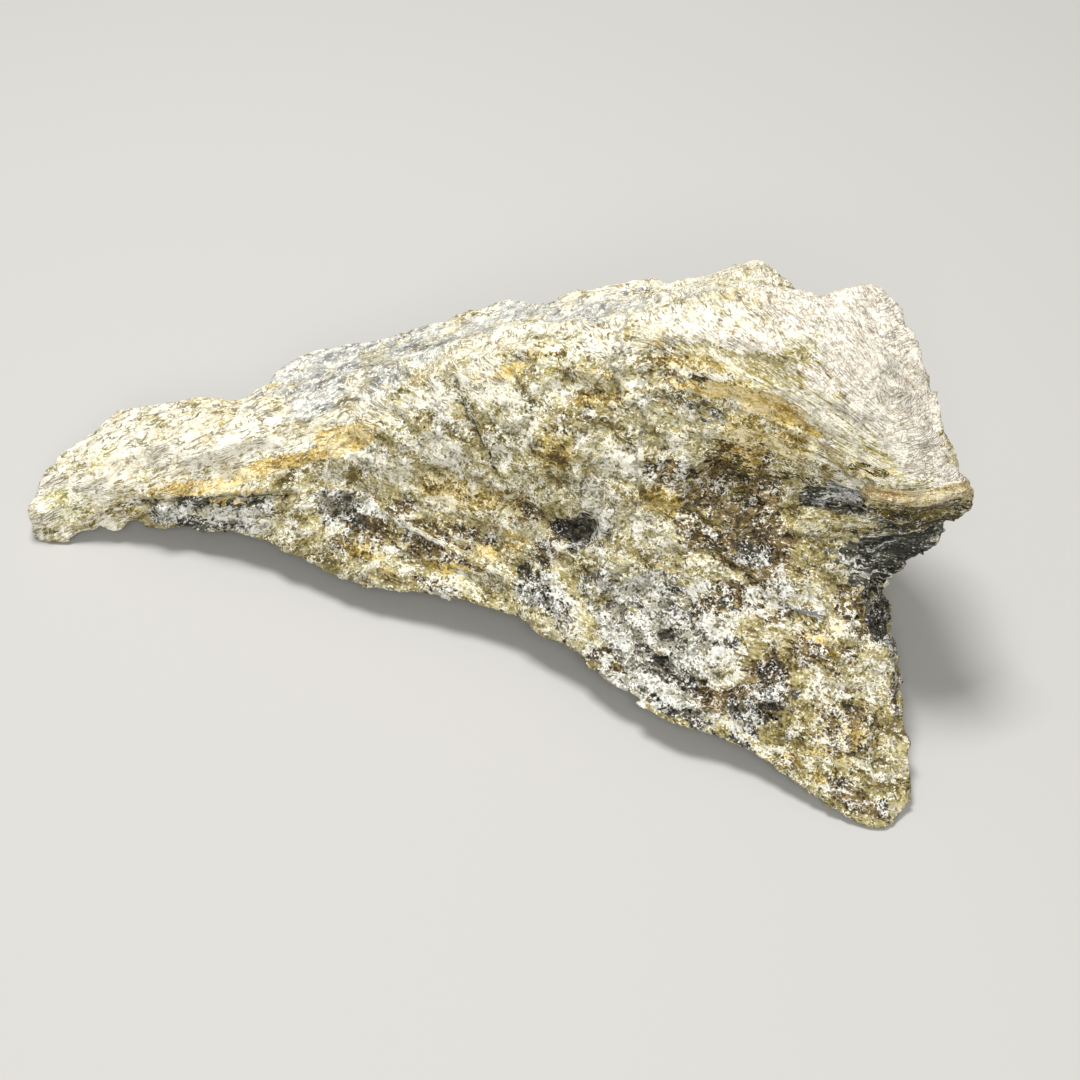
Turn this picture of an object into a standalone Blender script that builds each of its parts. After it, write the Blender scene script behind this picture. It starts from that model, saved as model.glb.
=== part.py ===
"""Rough labradorite: one broken, foliated piece of rock, lying on a flat surface.

The stone is a long wedge. A thin arm runs out to the left, a leg runs forward to the right, and a beak
overhangs on the right. Its outside is a skin stretched over seven lines that run from the tip of the arm
to the tip of the beak. Lumps, ledges, chips, knobs, hollows and cracks are then pushed into that skin.

Lengths are in millimetres, +X to the right, +Y away from the front face and +Z up. The finished mesh is
in metres, and its origin is at the middle of its box, on the surface that it lies on.
"""

import math

import bmesh
import bpy
import numpy as np
from mathutils import Vector, geometry, noise
from mathutils.bvhtree import BVHTree

# ---------------------------------------------------------------- driving dimensions
NODE_NAME = "labradorite"
METRES = 0.001  # one millimetre

ROW_SPACING = 0.6  # between cross-sections of the skin
ROOM_SHARE = 0.2  # of the thickness, or of the gap to the next face, that relief may fill
EVEN_SIZE = 0.48  # of the faces that the skin is rebuilt from
TRIANGLES = 9000  # about as many as the finished solid has
WORN_OFF = 0.3  # taken off the bottom, which leaves the flat patches that the stone rests on
CUT_SLACK = 0.25  # how far the cut may move up or down to keep clear of the corners
REST_FADE = 2.5  # the relief grows to its full height over this much above the ground

# The fold that the layers follow: it rises along the arm to a peak, and falls towards the beak.
ARCH = {
    "peak_x": 27.0,
    "peak_z": 37.5,
    "slope_left": 0.38,
    "slope_right": 0.44,
    "rounding": 5.0,
    "dip_back": 0.25,
}

# Relief, each with its size along the surface and its height.
LUMPS = {"size": 13.0, "height": 0.75, "fine_size": 4.2, "fine_height": 0.38}
LEDGES = {"pitch": 2.2, "height": 0.75}
CHIPS = {"length": 7.0, "thickness": 3.0, "height": 0.3, "crack": 0.22}
KNOBS = {"size": 2.6, "height": 0.75}

# Where knobs stand: the coarse, grainy part of the front face above the leg.
KNOB_FIELD = {"at": (23.0, -13.0, 9.0), "size": (15.0, 12.0, 9.0)}
# Where the layers show best: the beak and the top above it, and the arm.
LEDGE_FIELDS = [
    {"at": (42.0, 0.0, 29.0), "size": (16.0, 14.0, 9.0)},
    {"at": (-34.0, 17.0, 9.0), "size": (24.0, 12.0, 9.0)},
    {"at": (18.0, 10.0, 35.0), "size": (22.0, 12.0, 4.5)},
]

# Places where the surface stands out (lift above 0) or is sunk in.
FEATURES = [
    {"name": "dark pit in the front face", "at": (11.6, -1.0, 13.8), "size": (3.0, 3.5, 2.8), "lift": -2.0},
    {"name": "cleft above the pit", "at": (13.0, -0.4, 17.6), "size": (1.5, 3.0, 2.6), "lift": -0.9},
    {"name": "block right of the pit", "at": (18.0, -0.5, 19.8), "size": (5.2, 4.0, 4.6), "lift": 0.8},
    {"name": "brown hollow under the beak", "at": (25.5, -3.0, 20.5), "size": (5.2, 5.0, 4.0), "lift": -0.8},
    {"name": "amber cleavage plane", "at": (-14.6, 10.8, 16.6), "size": (4.2, 3.0, 2.0), "lift": -0.5},
    {"name": "dark band low on the front", "at": (-10.4, 5.0, 8.0), "size": (7.5, 3.5, 2.2), "lift": -0.6},
    {"name": "slot left of the beak", "at": (37.4, -5.8, 22.2), "size": (3.6, 3.0, 1.3), "lift": -1.0},
    {"name": "shoulder of the leg", "at": (36.0, -15.5, 11.0), "size": (3.5, 4.0, 2.6), "lift": 0.7},
    {"name": "hollow beside the leg", "at": (41.0, -12.5, 10.0), "size": (2.4, 2.6, 2.4), "lift": -0.9},
    {"name": "undercut of the arm", "at": (-28.5, 11.2, 5.4), "size": (8.0, 3.0, 2.2), "lift": -0.9},
    {"name": "knob at the tip of the arm", "at": (-50.0, 14.0, 3.0), "size": (2.6, 3.0, 2.6), "lift": 0.5},
    {"name": "shelf behind the top", "at": (13.0, 20.0, 30.0), "size": (11.0, 5.0, 4.0), "lift": -0.9},
]

# Cracks, each along the points of its route.
CRACKS = [
    {
        "name": "crack down the front face",
        "route": [(-2.2, 11.6, 25.8), (-0.9, 8.6, 22.6), (0.9, 5.8, 19.8), (2.3, 4.0, 15.8), (3, 3, 13.5)],
        "width": 1.3,
        "depth": 0.7,
    },
    {
        "name": "crack across the top of the beak",
        "route": [(41.5, 12.0, 35.2), (42.5, 7.0, 33.2), (44.5, 3.0, 30.6), (46.5, 0.5, 28.6)],
        "width": 1.0,
        "depth": 0.4,
    },
    {
        "name": "crack over the leg",
        "route": [(26.5, -9.0, 12.6), (30.0, -11.5, 12.6), (34.0, -12.6, 12.8), (37.5, -13.4, 11.8)],
        "width": 1.1,
        "depth": 0.6,
    },
]

# The seven lines, each a run of points by station. Station 0 is the tip of the arm, 11 is where the leg
# reaches the ground, and 16 is the tip of the beak. The last one, the heel, runs unseen behind the stone.
LINES = {
    # lower edge of the front face, then the right edge of the leg and the underside of the beak
    "foot": {
        0: (-52.5, 12.7, 0.3), 1: (-48.0, 11.8, 0.0), 2: (-39.8, 12.5, 2.0), 3: (-30.8, 10.5, 3.0),
        4: (-20.7, 5.9, 3.5), 5: (-10.3, 0.5, 3.5), 6: (-0.4, -3.5, 4.0), 7: (7.4, -8.0, 4.0),
        7.5: (12.1, -12.9, 3.8), 8: (17.8, -18.8, 3.5), 9: (28.0, -24.1, 2.5), 10: (36.3, -30.1, 1.0),
        11: (42.3, -32.3, -0.2), 12: (45.7, -28.5, 1.5), 13: (45.7, -18.5, 6.0), 14: (44.2, -9.2, 12.5),
        15: (48.8, -7.7, 17.5), 16: (52.1, -7.6, 22.0),
    },
    # amber edge of the arm, then the break of slope where the front face starts to run out into the leg
    "waist": {
        0: (-52.3, 12.6, 1.8), 1: (-47.5, 12.1, 2.5), 2: (-39.4, 12.5, 5.5), 3: (-30.4, 10.9, 8.0),
        4: (-20.5, 9.5, 10.5), 5: (-10.3, 6.7, 11.0), 6: (-1.3, 3.1, 10.5), 7: (6.9, -1.8, 10.0),
        8: (15.4, -7.2, 9.5), 9: (24.1, -12.0, 10.5), 10: (33.1, -14.8, 11.0), 11: (38.7, -16.7, 10.0),
        12: (42.8, -17.1, 9.0), 13: (44.0, -14.0, 9.5), 14: (41.6, -9.1, 13.0), 15: (45.4, -8.5, 20.5),
        16: (51.9, -7.6, 22.8),
    },
    # half way up the front face, then the lip of the beak
    "brow": {
        0: (-52.2, 12.5, 2.8), 1: (-48.4, 12.8, 5.0), 2: (-39.5, 14.2, 8.0), 3: (-30.4, 13.3, 10.5),
        4: (-20.4, 11.5, 13.5), 5: (-10.6, 8.4, 15.5), 6: (-1.8, 6.0, 18.5), 7: (7.4, 2.6, 22.0),
        8: (16.3, 0.0, 22.5), 9: (24.5, -2.1, 22.5), 10: (31.7, -3.9, 22.0), 11: (36.1, -6.3, 20.0),
        12: (39.2, -7.9, 18.0), 13: (40.5, -8.6, 16.5), 14: (42.0, -9.0, 21.0), 15: (46.2, -9.3, 24.0),
        16: (52.0, -7.7, 23.8),
    },
    # edge between the front face and the top
    "ridge": {
        0: (-52.3, 13.0, 3.6), 1: (-49.3, 15.3, 7.0), 2: (-40.4, 16.5, 10.5), 3: (-30.3, 15.5, 13.5),
        4: (-20.4, 14.5, 16.5), 5: (-11.3, 13.7, 20.5), 6: (-2.3, 11.9, 26.0), 7: (5.3, 10.7, 30.0),
        8: (13.7, 8.8, 33.0), 9: (21.8, 7.1, 35.0), 10: (28.2, 4.0, 36.0), 11: (33.6, 0.3, 35.0),
        12: (37.5, -2.3, 33.0), 13: (40.7, -5.5, 30.0), 14: (44.1, -7.2, 27.5), 15: (48.2, -8.0, 25.8),
        16: (52.2, -7.4, 24.6),
    },
    # back edge of the sharp top, above the lower shelf behind it
    "crown": {
        0: (-52.3, 13.3, 4.2), 1: (-49.2, 16.3, 8.0), 2: (-41.1, 19.9, 11.0), 3: (-31.2, 19.0, 14.0),
        4: (-21.5, 20.3, 16.5), 5: (-11.6, 19.8, 20.0), 6: (-2.0, 18.3, 24.0), 7: (5.8, 14.4, 29.0),
        8: (13.2, 12.3, 33.0), 9: (20.5, 12.2, 35.5), 10: (27.7, 11.2, 37.0), 11: (34.0, 6.7, 37.2),
        12: (39.3, 3.8, 35.5), 13: (43.2, 0.3, 32.5), 14: (46.1, -3.0, 29.3), 15: (49.2, -5.8, 26.6),
        16: (52.4, -6.9, 24.6),
    },
    # back edge of the stone
    "rim": {
        0: (-52.1, 14.8, 4.0), 1: (-49.7, 18.7, 7.5), 1.5: (-46.7, 21.7, 8.6), 2: (-42.7, 24.7, 9.5),
        3: (-34.2, 24.7, 12.0), 3.8: (-24.8, 25.2, 13.8), 4: (-22.3, 27.6, 14.6), 5: (-14.6, 28.0, 17.5),
        6: (-5.8, 28.4, 20.5), 6.5: (-0.6, 29.2, 22.0), 7: (2.8, 27.9, 23.5), 8: (10.8, 25.9, 26.0),
        8.4: (14.1, 26.8, 27.0), 8.8: (19.7, 26.1, 28.6), 9.1: (21.6, 24.0, 29.0), 9.6: (26.7, 23.9, 30.4),
        10: (30.4, 25.7, 31.0), 10.4: (32.8, 22.7, 31.5), 11: (34.0, 16.1, 34.0), 12: (41.3, 15.5, 35.0),
        12.6: (45.2, 15.0, 34.0), 13: (47.2, 11.4, 32.5), 14: (48.1, 4.1, 29.5), 15: (50.2, -2.8, 26.5),
        16: (52.8, -5.9, 24.0),
    },
    # where the back meets the ground
    "heel": {
        0: (-51.6, 14.8, 0.1), 1: (-48.6, 17.8, -0.5), 2: (-42.1, 22.8, 1.5), 3: (-33.6, 24.3, 2.5),
        4: (-23.6, 25.8, 1.5), 5: (-14.6, 27.8, 0.5), 6: (-4.6, 28.8, -0.5), 7: (4.4, 28.8, -0.8),
        8: (13.4, 28.3, -0.8), 9: (21.4, 27.3, -0.8), 10: (29.4, 24.8, -0.8), 11: (34.4, 20.3, -0.8),
        12: (38.9, 15.8, 0.0), 13: (41.4, 8.3, 2.0), 14: (43.9, -0.2, 9.0), 15: (48.4, -4.7, 18.0),
        16: (51.8, -6.9, 22.4),
    },
}

# Columns of the skin from each line to the next, and how far the middle bulges out.
PANELS = [
    ("foot", "waist", 14, 0.4),
    ("waist", "brow", 20, -0.5),
    ("brow", "ridge", 20, 0.8),
    ("ridge", "crown", 13, 0.4),
    ("crown", "rim", 16, -0.5),
    ("rim", "heel", 24, 1.2),
    ("heel", "foot", 28, -2.2),
]
FULL_BULGE_WIDTH = 12.0  # a panel narrower than this bulges less
LAST_STATION = 16


def line_points(stations, at):
    """The line's points at the given stations, on a smooth curve through its own points."""
    keys = np.array(sorted(stations), float)
    points = np.array([stations[k] for k in sorted(stations)], float)
    slopes = np.gradient(points, keys, axis=0)
    i = np.clip(np.searchsorted(keys, at, side="right") - 1, 0, len(keys) - 2)
    span = (keys[i + 1] - keys[i])[:, None]
    t = (at - keys[i])[:, None] / span
    start = (1 + 2 * t) * (1 - t) ** 2 * points[i] + t * (1 - t) ** 2 * span * slopes[i]
    end = t**2 * (3 - 2 * t) * points[i + 1] + t**2 * (t - 1) * span * slopes[i + 1]
    return start + end


def even_stations():
    """Stations whose cross-sections are about ROW_SPACING apart, averaged over the lines."""
    fine = np.linspace(0, LAST_STATION, 40 * LAST_STATION + 1)
    runs = [np.diff(line_points(line, fine), axis=0) for line in LINES.values()]
    steps = np.mean([np.linalg.norm(run, axis=1) for run in runs], axis=0)
    length = np.concatenate([[0], np.cumsum(steps)])
    rows = int(length[-1] / ROW_SPACING)
    return np.interp(np.linspace(0, length[-1], rows + 1), length, fine)


def skin_grid():
    """Rows of points, one closed row round the stone for each cross-section."""
    at = even_stations()
    lines = {name: line_points(points, at) for name, points in LINES.items()}
    centre = np.mean(list(lines.values()), axis=0)
    columns = []
    for start, end, count, bulge in PANELS:
        a, b = lines[start], lines[end]
        out = np.cross(np.gradient((a + b) / 2, axis=0), b - a)
        out /= np.linalg.norm(out, axis=1)[:, None] + 1e-9
        away = np.sum(out * ((a + b) / 2 - centre), axis=1)[:, None]
        out *= np.where(away < 0, -1, 1)
        width = np.linalg.norm(b - a, axis=1)[:, None]
        for k in range(count):
            t = k / count
            lift = bulge * 4 * t * (1 - t) * np.minimum(1, width / FULL_BULGE_WIDTH)
            columns.append(a * (1 - t) + b * t + out * lift)
    return np.stack(columns, axis=1)


def softened(grid, passes, strength):
    """Rounds the edges that the panels leave, keeping both end rows."""
    for _ in range(passes):
        mean = (np.roll(grid, 1, 1) + np.roll(grid, -1, 1)) / 2
        mean[1:-1] = (mean[1:-1] + (grid[:-2] + grid[2:]) / 2) / 2
        grid = grid + strength * (mean - grid)
    return grid


def skin_mesh(grid):
    """A closed mesh over the rows, with a point in the middle of each end."""
    rows, columns, _ = grid.shape
    work = bmesh.new()
    verts = [[work.verts.new(p) for p in row] for row in grid]
    for i in range(rows - 1):
        for j in range(columns):
            k = (j + 1) % columns
            work.faces.new((verts[i][j], verts[i][k], verts[i + 1][k], verts[i + 1][j]))
    for row in (verts[0], verts[-1]):
        middle = work.verts.new(sum((v.co for v in row), Vector()) / columns)
        for j in range(columns):
            work.faces.new((middle, row[(j + 1) % columns], row[j]))
    bmesh.ops.recalc_face_normals(work, faces=work.faces)
    return work


def ramp(low, high, value):
    """0 below low, 1 above high, and a smooth rise between them."""
    t = min(1.0, max(0.0, (value - low) / (high - low)))
    return t * t * (3 - 2 * t)


def inside(p, field, edge=0.35):
    """1 in the middle of an ellipsoid, falling to 0 at its ragged outside."""
    c, r = field["at"], field["size"]
    away = math.sqrt(sum(((p[k] - c[k]) / r[k]) ** 2 for k in range(3)))
    return 1 - ramp(edge, 1.0, away + 0.22 * noise.noise(p / 2.4))


def layer_height(p):
    """How far a point is above the bottom layer, measured across the folded layers."""
    away = p.x - ARCH["peak_x"]
    reach = math.sqrt(away * away + ARCH["rounding"] ** 2)
    mean = (ARCH["slope_left"] + ARCH["slope_right"]) / 2
    lean = (ARCH["slope_right"] - ARCH["slope_left"]) / 2
    return p.z - ARCH["peak_z"] + mean * reach + lean * away + ARCH["dip_back"] * p.y


def ledges(p):
    """Broken edges of the layers: a slow rise, then a short drop."""
    shown = max(inside(p, field) for field in LEDGE_FIELDS)
    wander = 0.8 * noise.noise(p / 9) + 0.35 * noise.noise(p / 3.5)
    t = layer_height(p) / LEDGES["pitch"] + wander
    along = t - math.floor(t)
    return LEDGES["height"] * (0.15 + 0.85 * shown) * (along - ramp(0.72, 0.98, along) - 0.15)


def chips(p):
    """Flat blocks between cleavage cracks, each a little higher or lower than the next."""
    q = Vector((p.x / CHIPS["length"], p.y / CHIPS["length"], layer_height(p) / CHIPS["thickness"]))
    near, points = noise.voronoi(q + 0.35 * noise.noise_vector(p / 5))
    own = noise.cell(points[0] * 37.0) * 2 - 1
    edge = ramp(0.0, 0.16, near[1] - near[0])
    return CHIPS["height"] * own * edge - CHIPS["crack"] * (1 - edge)


def lumps(p):
    """Rounded swells, large ones with smaller ones on them."""
    broad = noise.fractal(p / LUMPS["size"], 1.0, 2.1, 2) * LUMPS["height"]
    return broad + noise.fractal(p / LUMPS["fine_size"], 1.0, 2.1, 3) * LUMPS["fine_height"]


def knobs(p):
    """Coarse grains that stand out of the softer rock round them."""
    near, _ = noise.voronoi(p / KNOBS["size"] + 0.3 * noise.noise_vector(p / 3))
    return KNOBS["height"] * inside(p, KNOB_FIELD) * (0.45 - near[0])


def distance_to_route(p, route):
    """How far a point is from the nearest stretch of a route, or infinity beyond its ends."""
    near = math.inf
    for a, b in zip(route, route[1:]):
        closest, along = geometry.intersect_point_line(p, Vector(a), Vector(b))
        if 0 <= along <= 1:
            near = min(near, (p - closest).length)
    return near


def cracks(p):
    depth = 0.0
    for crack in CRACKS:
        away = distance_to_route(p, crack["route"]) + 0.3 * noise.noise(p / 1.5)
        depth += crack["depth"] * (1 - ramp(0.0, crack["width"], away))
    return -depth


def relief(p):
    """How far the surface is pushed out at a point."""
    shaped = sum(feature["lift"] * inside(p, feature) for feature in FEATURES)
    return lumps(p) + ledges(p) + chips(p) + knobs(p) + cracks(p) + shaped


def room(skin, v, side):
    """How much relief fits on one side of the skin: part of the way to the next skin there."""
    hit = skin.ray_cast(v.co + side * 0.01, side)
    return math.inf if hit[0] is None else hit[3] * ROOM_SHARE


def weathered_skin():
    """The closed skin with its relief, which is low near the ground and where the stone is thin."""
    work = skin_mesh(softened(skin_grid(), passes=3, strength=0.5))
    work.normal_update()
    skin = BVHTree.FromBMesh(work)
    moves = []
    for v in work.verts:
        lift = relief(v.co) * ramp(-1, REST_FADE, v.co.z)
        lift = max(-room(skin, v, -v.normal), min(lift, room(skin, v, v.normal)))
        moves.append(v.normal * lift)
    for v, move in zip(work.verts, moves):
        v.co += move
    return work


def stone_material():
    material = bpy.data.materials.new("rough_feldspar")
    material.use_nodes = True
    surface = material.node_tree.nodes["Principled BSDF"]
    surface.inputs["Base Color"].default_value = (0.42, 0.37, 0.22, 1)
    surface.inputs["Roughness"].default_value = 0.55
    surface.inputs["Metallic"].default_value = 0.0
    return material


def add_object(name, work):
    mesh = bpy.data.meshes.new(name)
    work.to_mesh(mesh)
    work.free()
    thing = bpy.data.objects.new(name, mesh)
    bpy.context.scene.collection.objects.link(thing)
    return thing


def even_skin(stone):
    """Rebuilds the stone's skin with even faces and no folds, and keeps about TRIANGLES of them."""
    even = stone.modifiers.new("even", "REMESH")
    even.mode = "VOXEL"
    even.voxel_size = EVEN_SIZE
    smooth = stone.modifiers.new("smooth", "SMOOTH")
    smooth.factor = 0.4
    smooth.iterations = 1
    view = bpy.context.evaluated_depsgraph_get()
    faces = stone.evaluated_get(view).data.polygons
    fewer = stone.modifiers.new("fewer", "DECIMATE")
    fewer.ratio = TRIANGLES / sum(len(face.vertices) - 2 for face in faces)
    view.update()
    mesh = bpy.data.meshes.new_from_object(stone.evaluated_get(view))
    stone.modifiers.clear()
    stone.data = mesh


def clear_height(mesh):
    """A height near WORN_OFF that keeps clear of every corner, so that a cut there leaves no slivers."""
    heights = sorted(v.co.z for v in mesh.vertices if abs(v.co.z - WORN_OFF) < CUT_SLACK)
    gap = max(zip(heights, heights[1:]), key=lambda pair: pair[1] - pair[0])
    return sum(gap) / 2


def wear_flat(mesh):
    """Cuts the flat patches, and puts them on the ground with the middle of the box over the origin."""
    work = bmesh.new()
    work.from_mesh(mesh)
    height = clear_height(mesh)
    everything = [*work.verts, *work.edges, *work.faces]
    ground = {"plane_co": (0, 0, height), "plane_no": (0, 0, -1), "dist": 1e-5}
    bmesh.ops.bisect_plane(work, geom=everything, clear_outer=True, **ground)
    bmesh.ops.holes_fill(work, edges=[edge for edge in work.edges if edge.is_boundary])
    bmesh.ops.triangulate(work, faces=work.faces)
    corners = [(min(c), max(c)) for c in zip(*(v.co for v in work.verts))]
    middle = Vector((sum(corners[0]) / 2, sum(corners[1]) / 2, corners[2][0]))
    for v in work.verts:
        v.co = (v.co - middle) * METRES
    work.to_mesh(mesh)
    work.free()


def build_stone():
    stone = add_object(NODE_NAME, weathered_skin())
    even_skin(stone)
    wear_flat(stone.data)
    stone.data.materials.clear()
    stone.data.materials.append(stone_material())


for old in list(bpy.data.objects):
    bpy.data.objects.remove(old)
build_stone()
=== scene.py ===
import math

import bmesh
import bpy
import numpy as np
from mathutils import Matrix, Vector, noise


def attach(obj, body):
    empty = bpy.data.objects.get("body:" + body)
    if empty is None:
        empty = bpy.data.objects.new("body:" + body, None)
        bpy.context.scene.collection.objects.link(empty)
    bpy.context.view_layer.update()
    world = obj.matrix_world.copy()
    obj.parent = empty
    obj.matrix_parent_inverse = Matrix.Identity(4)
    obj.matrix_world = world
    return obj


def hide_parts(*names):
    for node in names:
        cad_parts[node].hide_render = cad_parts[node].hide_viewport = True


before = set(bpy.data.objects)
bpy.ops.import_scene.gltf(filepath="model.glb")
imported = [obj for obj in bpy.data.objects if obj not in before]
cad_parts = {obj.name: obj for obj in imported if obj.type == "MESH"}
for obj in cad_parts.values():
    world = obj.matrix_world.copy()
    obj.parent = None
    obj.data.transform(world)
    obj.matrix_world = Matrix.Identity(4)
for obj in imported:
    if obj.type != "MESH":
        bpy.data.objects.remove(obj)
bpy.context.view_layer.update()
mm = 0.001

# The stone. Everything is in mm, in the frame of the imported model

stone = {
    "node": "labradorite",
    "voxel": 0.40,  # size of the faces that the skin is rebuilt from
    "smoothing": 1,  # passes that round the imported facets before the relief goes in
    "apex": 18.0,  # x where the layers turn over from the arm to the beak
    "turnOver": (8, 26),  # x where they begin to, and where they have
    "beak": (55.0, 21.0),  # where they run together: x, and height less the dip
    "beakPitch": 12,  # how far from there they stop drawing closer
    "dipBack": 0.25,
    "armSlope": 0.38,
    "frontSlope": 0.30,
    "frontDrop": 8,
    "frontLean": 0.6,  # the front begins at a plane that leans this much: y less this share of z
    "frontFade": (8, 3),  # where that measure leaves the ridge, and where it has reached the front
    "frontEnd": (-18, -9),  # x where the front gives way to the arm
    "beakRoot": {"x": (12, 22), "z": (15, 22)},  # where it gives way to the beak
    "bendSize": 4.0,  # of the waves in the layers
    "bend": 1.2,  # how far they move
    "edgeWander": 1.6,  # how far the edges of the colour areas wander
    "seed": 7,  # of that wander; 0 would take it from the clock
}

camera = {"at": (7.526, -173.24, 167.78), "down": 42.0, "lens": 72.19, "sensor": 36, "steps": 1080}

# How marks, ribbons and strokes end
edges = {
    "wander": 3.0,  # steps that the edges of the marks wander for each mm that the areas' edges do
    "ribbonWander": 0.2,  # the ribbons' share of that
    "strokeWander": 0.4,
    "markFade": (1.35, 0.55),  # shares of a mark's size between which it fades in
    "ribbonFirm": 0.28,  # strength gained for each step in from a ribbon's edge
    "ribbonMost": 1.6,
    "strokeReach": 1.3,  # how far a stroke reaches to each side, as a share of its width
    "facing": (-0.15, 0.08),  # cosine to the camera between which they all fade in
}

# Where each finish shows all round: middle, half sizes, tilt in degrees about Y, and strength
areas = {
    "grey": [
        ((20, -9.5, 9.5), (11, 9, 7.5), 0, 0.5), ((-20, 30, 6), (12, 6, 5), 0, 0.8),
        ((35, 28, 14), (14, 8, 9), 0, 0.9),
    ],
    "brown": [
        ((24, -2.5, 19), (5, 5, 5), 0, 0.6), ((12, 29, 16), (10, 6, 6), 10, 0.8), ((48, 14, 16), (6, 9, 6), 0, 0.8),
    ],
    "dark": [
        ((44, -8, 16.6), (6, 4.5, 3.4), 4, 0.9), ((43.5, -11.5, 11), (2.6, 4, 5), 0, 0.9),
        ((-31, 11.4, 3.6), (9.5, 3.6, 2.2), 0, 0.45), ((26, 30, 10), (5, 5, 4), 0, 0.8),
    ],
    "flow": [
        ((45, -4, 27), (8, 5, 3), 20, 0.7), ((50, 9, 17), (4, 10, 5), 0, 0.7),
    ],
    "cream": [
        ((-30, 20, 13), (27, 11, 7), -18, 1), ((-2, 21, 24), (24, 10, 8), -20, 1),
        ((18, 17, 34), (18, 14, 4), -6, 1), ((-47, 15, 5), (8, 6, 7), 0, 0.9),
        ((0.5, 10, 26.5), (8, 3.5, 2), -30, 0.7), ((24, 27, 31), (13, 7, 6), -6, 1),
    ],
    "sand": [
        ((44, 8, 33), (10, 17, 7), 20, 1), ((36, 14, 37), (10, 12, 4), 0, 0.8),
    ],
    "chalk": [
        ((-12, 22, 18), (14, 9, 5), -20, 1), ((-26, 28, 14), (9, 4, 3), -15, 0.7),
        ((4, 24, 25), (9, 5, 4), -15, 0.7),
    ],
    "pale": [
        ((-14, 30, 10), (5, 4, 4), 0, 0.7), ((40, 24, 22), (6, 6, 5), 0, 0.7),
    ],
    "amber": [
        ((-5, 28, 14), (6, 5, 2), -20, 0.8),
    ],
    "glass": [
        ((47, -7.6, 21.4), (7.5, 3, 1.1), 10, 0.8),
    ],
}

# The finishes, each laid over those before it. Colours are linear: deep, low and high, and then how much pale
# crust and painted glint there is, how far it runs in streaks, and dullness
finish = {
    "olive": ((0.12, 0.09, 0.022), (0.4, 0.33, 0.12), (0.66, 0.615, 0.38), (0.006, 0.25, 0.42)),
    "grey": ((0.045, 0.04, 0.028), (0.28, 0.265, 0.19), (0.56, 0.545, 0.44), (0.03, 0.2, 0.38)),
    "brown": ((0.026, 0.016, 0.004), (0.13, 0.085, 0.02), (0.3, 0.215, 0.075), (-0.105, 0.2, 0.34)),
    "honey": ((0.085, 0.05, 0.007), (0.36, 0.25, 0.048), (0.66, 0.53, 0.18), (-0.03, 0.35, 0.34)),
    "dark": ((0.01, 0.008, 0.004), (0.045, 0.038, 0.024), (0.15, 0.135, 0.095), (-0.1, 0.2, 0.3)),
    # dark stone under the beak's lip and under the arm, which also paints the shade that falls there
    "slateAndShade": ((0.01, 0.01, 0.005), (0.032, 0.031, 0.018), (0.17, 0.165, 0.115), (-0.085, 0.9, 0.24)),
    # a bright silvery flash on the dark lens and under the beak's lip: painted sheen set in the base colour
    "paintedSheen": ((0.06, 0.06, 0.055), (0.3, 0.305, 0.285), (0.86, 0.87, 0.85), (0.02, 1, 0.22)),
    "flow": ((0.34, 0.27, 0.08), (0.56, 0.48, 0.21), (0.8, 0.76, 0.52), (0.05, 0.9, 0.38)),
    "cream": ((0.46, 0.4, 0.21), (0.7, 0.64, 0.44), (0.86, 0.835, 0.7), (0.065, 0.45, 0.62)),
    # palest cream that also lightens places the lamps leave in shade: painted light
    "bonePaintedLight": ((0.6, 0.54, 0.36), (0.83, 0.785, 0.62), (0.94, 0.92, 0.81), (0.085, 0.45, 0.6)),
    "lemon": ((0.28, 0.24, 0.05), (0.62, 0.57, 0.25), (0.83, 0.81, 0.54), (0.05, 0.3, 0.48)),
    "sand": ((0.5, 0.42, 0.31), (0.74, 0.665, 0.545), (0.95, 0.91, 0.83), (0.08, 0.2, 0.66)),
    "chalk": ((0.2, 0.2, 0.19), (0.49, 0.5, 0.475), (0.76, 0.78, 0.75), (0.005, 0.55, 0.66)),
    "pale": ((0.18, 0.155, 0.075), (0.48, 0.43, 0.25), (0.77, 0.73, 0.53), (0.085, 0.15, 0.42)),
    "amber": ((0.42, 0.26, 0.045), (0.76, 0.575, 0.185), (0.92, 0.8, 0.46), (0, 0.45, 0.4)),
    "tan": ((0.32, 0.2, 0.065), (0.62, 0.48, 0.22), (0.8, 0.7, 0.42), (-0.11, 0.35, 0.34)),
    "glass": ((0.016, 0.011, 0.001), (0.07, 0.048, 0.005), (0.26, 0.2, 0.045), (-0.28, 0.45, 0.16)),
}

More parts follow.
